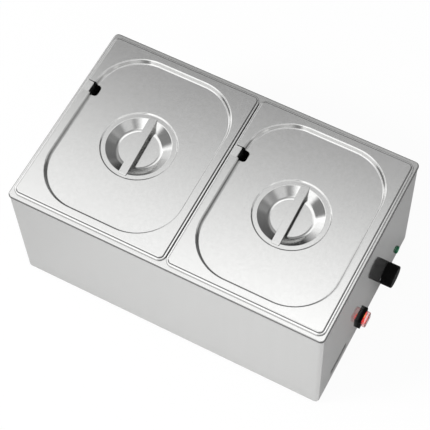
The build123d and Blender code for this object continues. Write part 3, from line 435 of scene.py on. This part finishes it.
MATERIALS = {
    "casing_steel": steel(
        "casing brushed steel", UP_WALLS, (0.568, 0.568, 0.563), (0.548, 0.548, 0.543),
        roughness=0.055, spread=0.02, groove=0.000001, mark=0.006, haze=0.15,
    ),
    "tank_steel": steel(
        "tank satin steel", ALONG_X, (0.6, 0.6, 0.595), (0.57, 0.57, 0.565),
        roughness=0.14, spread=0.04, groove=0.000002, mark=0.01, haze=0.04, turned=TANK_EDGE,
    ),
    "pan_steel": steel(
        "pan satin steel", PAN_SATIN, (0.72, 0.72, 0.715), (0.68, 0.68, 0.675),
        roughness=0.12, spread=0.04, groove=0.000002, mark=0.012, haze=0.04, turned=PAN_EDGE,
    ),
    "lid_steel": steel(
        "lid satin steel", LID_SATIN, (0.62, 0.62, 0.615), (0.59, 0.59, 0.585),
        roughness=0.12, spread=0.04, groove=0.000002, mark=0.012, haze=0.03, turned=LID_EDGE,
    ),
    "inner_steel": steel(
        "inner mill steel", ALONG_Y, (0.5, 0.5, 0.49), (0.4, 0.4, 0.39),
        roughness=0.3, spread=0.1, groove=0.000005, mark=0.04,
    ),
    "element_steel": steel(
        "heated tube steel", TUBE_MOTTLE, (0.33, 0.3, 0.27), (0.17, 0.16, 0.16),
        roughness=0.4, spread=0.15, groove=0.000006,
    ),
    "screw_steel": steel(
        "zinc plated steel", ALONG_THREAD, (0.62, 0.63, 0.64), (0.5, 0.51, 0.53),
        roughness=0.28, spread=0.1, groove=0.000004,
    ),
    "copper": steel(
        "copper tube", COPPER_MOTTLE, (0.78, 0.42, 0.27), (0.6, 0.29, 0.17),
        roughness=0.28, spread=0.1, groove=0.000003,
    ),
    "brass": steel(
        "plain brass", ALONG_LUG, (0.78, 0.6, 0.28), (0.62, 0.45, 0.2),
        roughness=0.28, spread=0.1, groove=0.000003,
    ),
    "foot_rubber": plastic(
        "foot rubber", (0.018, 0.018, 0.018), (0.035, 0.034, 0.033),
        roughness=0.7, pebbles=1800.0, depth=0.00004, specular=0.3,
    ),
    "black_plastic": plastic(
        "black moulded plastic", (0.002, 0.002, 0.002), (0.004, 0.004, 0.004),
        roughness=0.45, pebbles=2600.0, depth=0.00002, specular=0.06,
    ),
    "white_insulator": plastic(
        "white insulator", (0.78, 0.77, 0.72), (0.66, 0.64, 0.58),
        roughness=0.55, pebbles=1500.0, depth=0.00002,
    ),
    "insulation": plastic(
        "fibre board", (0.72, 0.69, 0.6), (0.6, 0.56, 0.47),
        roughness=0.9, pebbles=700.0, depth=0.0004, specular=0.2,
    ),
    "brown_wire": sleeve("brown sleeve", (0.18, 0.08, 0.04), (0.24, 0.12, 0.07)),
    "blue_wire": sleeve("blue sleeve", (0.03, 0.1, 0.42), (0.05, 0.14, 0.5)),
    "earth_wire": sleeve("earth sleeve", (0.3, 0.5, 0.06), (0.4, 0.6, 0.1)),
    "white_wire": sleeve("white sleeve", (0.75, 0.75, 0.7), (0.62, 0.62, 0.58)),
    "red_rocker": lit_rocker(),
    "clear_cover": clear_cover(),
    "green_lens": green_lens(),
}


def finish_pieces():
    """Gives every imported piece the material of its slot."""
    for part in frame["record"]["subparts"]:
        mesh = nodes[part["node"]].data
        mesh.materials.clear()
        mesh.materials.append(MATERIALS[part["material_slot"]])


# the floor: half its width, its tone, and how much of the camera's view of it is plain white
FLOOR_REACH = 1.6
FLOOR_TONE = 0.86
FLOOR_WHITE = 0.95

# painted pool of light on the floor as the steel sees it: bright round this point, darkening from
# the first distance to the second
TABLE_MIDDLE = (0.3, -0.3, 0.0)
TABLE_NEAR, TABLE_FAR, TABLE_EDGE = 0.1, 1.6, 0.1

# brightness of the sky along a slope or a height: from, to, value before, value after
HORIZON = 0.05
BANK = (0.37, 0.60, 2.15, 0.5)
TILT = (-0.36, -0.14, 0.93, 1.1)
SHADE = (-0.05, 0.32, 1.0, 0.22)
RISE = (0.2, 0.55, 0.06, 1.0)

# where the bank comes down to the horizon: direction, and cosines from its edge to its full part
FRONT = ((-0.5, -0.85, 0.0), (0.1, 0.5))

# how much of the sky's light reaches dull surfaces
FILL = 0.42

# patches added to the sky, and patches that cut it: direction, cosines, strength
SOFTBOXES = (
    ((-0.742, 0.4286, 0.515), (0.93, 0.985), 0.9),
    ((-0.86, 0.40, 0.25), (0.88, 0.97), 0.8),
    ((0.45, -0.17, 0.87), (0.97, 0.995), 0.6),
    ((0.62, -0.62, 0.47), (0.85, 0.95), 1.0),
    ((0.90, 0.38, 0.05), (0.90, 0.955), 1.3),
    ((0.70, 0.40, 0.58), (0.93, 0.985), 0.22),
    ((0.93, -0.10, 0.35), (0.93, 0.98), 1.0),
    ((0.30, 0.82, 0.48), (0.80, 0.95), 0.14),
)
FLAGS = (
    ((-0.78, -0.17, 0.60), (0.92, 0.975), 0.82),
    ((0.0, 0.0, 1.0), (0.955, 0.985), 0.5),
)

# the key lamp
KEY_PLACE = (-1.5, -1.4, 2.1)
KEY_AIM = (0.0, 0.0, 0.15)
KEY_SIZE = 0.8
KEY_POWER = 58.0


def direct(tree, ray):
    """1 for a ray straight from the camera, or through glass only, and 0 for any other."""
    unmirrored = math(tree, "LESS_THAN", ray["Glossy Depth"], 0.5)
    through = math(tree, "MULTIPLY", ray["Is Transmission Ray"], unmirrored)
    return math(tree, "MAXIMUM", ray["Is Camera Ray"], through)


def studio_floor():
    """Pale floor, a flat square: lit and shadowed as any floor and close to white to the camera and
    through glass. To the steel it is a white table with a painted pool of light that darkens away
    from the object."""
    reach = FLOOR_REACH
    corners = [(-reach, -reach, 0), (reach, -reach, 0), (reach, reach, 0), (-reach, reach, 0)]
    mesh = bpy.data.meshes.new("studio floor")
    mesh.from_pydata(corners, [], [(0, 1, 2, 3)])
    floor = bpy.data.objects.new("studio_floor", mesh)
    bpy.context.scene.collection.objects.link(floor)
    made = bpy.data.materials.new("studio floor")
    made.use_nodes = True
    tree = made.node_tree
    tree.nodes.clear()
    away = distance(tree, node(tree, "ShaderNodeTexCoord").outputs["Object"], TABLE_MIDDLE)
    # painted pool of light: bright near the object and darker away, seen only by the steel
    near = ramp(tree, away, TABLE_NEAR, TABLE_FAR, 1.0, TABLE_EDGE)
    ray = node(tree, "ShaderNodeLightPath").outputs
    glossy = ray["Is Glossy Ray"]
    unmirrored = math(tree, "SUBTRACT", 1.0, glossy)
    tone = math(tree, "ADD", unmirrored, math(tree, "MULTIPLY", glossy, near))
    pale = node(tree, "ShaderNodeBsdfDiffuse")
    shade = node(tree, "ShaderNodeCombineColor")
    for channel in ("Red", "Green", "Blue"):
        wire(tree, math(tree, "MULTIPLY", tone, FLOOR_TONE), shade.inputs[channel])
    wire(tree, shade.outputs[0], pale.inputs["Color"])
    white = node(tree, "ShaderNodeEmission")
    seen = math(tree, "MULTIPLY", direct(tree, ray), FLOOR_WHITE)
    blend = node(tree, "ShaderNodeMixShader")
    wire(tree, seen, blend.inputs[0])
    wire(tree, pale.outputs[0], blend.inputs[1])
    wire(tree, white.outputs[0], blend.inputs[2])
    wire(tree, blend.outputs[0], node(tree, "ShaderNodeOutputMaterial").inputs["Surface"])
    mesh.materials.append(made)


def studio_sky():
    """The studio above the floor: a bright bank overhead and in front that dims towards the back
    and the right, a dark ring at the horizon and a few softboxes low round it. White to the camera
    and through glass."""
    world = bpy.data.worlds.new("studio")
    bpy.context.scene.world = world
    world.use_nodes = True
    tree = world.node_tree
    tree.nodes.clear()
    facing = node(tree, "ShaderNodeTexCoord").outputs["Generated"]
    way = node(tree, "ShaderNodeSeparateXYZ")
    wire(tree, facing, way.inputs[0])
    x, y, z = way.outputs
    height = math(tree, "MAXIMUM", z, HORIZON)
    bank = ramp(tree, math(tree, "DIVIDE", y, height), *BANK)
    across = math(tree, "DIVIDE", x, height)
    ray = node(tree, "ShaderNodeLightPath").outputs
    shade = mix_value(tree, ray["Is Diffuse Ray"], ramp(tree, across, *SHADE), 1.0)
    tilt = math(tree, "MULTIPLY", ramp(tree, across, *TILT), shade)

    def patch(place, spread, low, high):
        box = node(tree, "ShaderNodeVectorMath", operation="DOT_PRODUCT")
        wire(tree, facing, box.inputs[0])
        box.inputs[1].default_value = tuple(np.array(place) / np.linalg.norm(place))
        return ramp(tree, box.outputs["Value"], *spread, low, high)

    rise = math(tree, "MAXIMUM", ramp(tree, z, *RISE), patch(*FRONT, 0.0, 1.0))
    light = math(tree, "MULTIPLY", math(tree, "MULTIPLY", bank, tilt), rise)
    for place, spread, cut in FLAGS:
        light = math(tree, "MULTIPLY", light, patch(place, spread, 1.0, 1.0 - cut))
    for place, spread, strength in SOFTBOXES:
        light = math(tree, "ADD", light, patch(place, spread, 0.0, strength))
    lost = math(tree, "MULTIPLY", ray["Is Diffuse Ray"], 1.0 - FILL)
    light = math(tree, "MULTIPLY", light, math(tree, "SUBTRACT", 1.0, lost))
    shown = node(tree, "ShaderNodeBackground")
    wire(tree, light, shown.inputs["Strength"])
    white = node(tree, "ShaderNodeBackground", Color=(1.0, 1.0, 1.0, 1.0), Strength=1.0)
    blend = node(tree, "ShaderNodeMixShader")
    wire(tree, direct(tree, ray), blend.inputs[0])
    wire(tree, shown.outputs[0], blend.inputs[1])
    wire(tree, white.outputs[0], blend.inputs[2])
    wire(tree, blend.outputs[0], node(tree, "ShaderNodeOutputWorld").inputs["Surface"])


def standing(right, up, back, place):
    """The matrix of something at place whose own x, y and z axes are right, up and back."""
    rows = [(right[i], up[i], back[i], place[i]) for i in range(3)]
    return Matrix(rows + [(0.0, 0.0, 0.0, 1.0)])


def lamp(name, place, aim, size, power):
    """A square softbox at place, facing aim, that neither the camera nor the steel sees."""
    data = bpy.data.lights.new(name, "AREA")
    data.size = size
    data.energy = power
    made = bpy.data.objects.new(name, data)
    bpy.context.scene.collection.objects.link(made)
    back = np.array(place, float) - np.array(aim, float)
    back /= np.linalg.norm(back)
    side = np.cross((0.0, 0.0, 1.0), back)
    side /= np.linalg.norm(side)
    made.matrix_world = standing(side, np.cross(back, side), back, place)
    made.visible_camera = False
    made.visible_glossy = False


def camera():
    """The photograph's camera, by its place and its right, down and forward directions."""
    right = (0.8825196, 0.46955618, -0.02600287)
    down = (0.40285471, -0.78336774, -0.47333189)
    ahead = (-0.24262572, 0.40724929, -0.8805003)
    place = (0.57508, -0.99114, 2.25726)
    data = bpy.data.cameras.new("camera")
    data.sensor_width = 36.0
    data.lens = 126.094
    data.clip_end = 50.0
    made = bpy.data.objects.new("camera", data)
    bpy.context.scene.collection.objects.link(made)
    made.matrix_world = standing(right, [-d for d in down], [-a for a in ahead], place)
    bpy.context.scene.camera = made


finish_pieces()
studio_floor()
studio_sky()
lamp("key", KEY_PLACE, KEY_AIM, KEY_SIZE, KEY_POWER)
camera()
bpy.context.scene.view_settings.view_transform = "Standard"
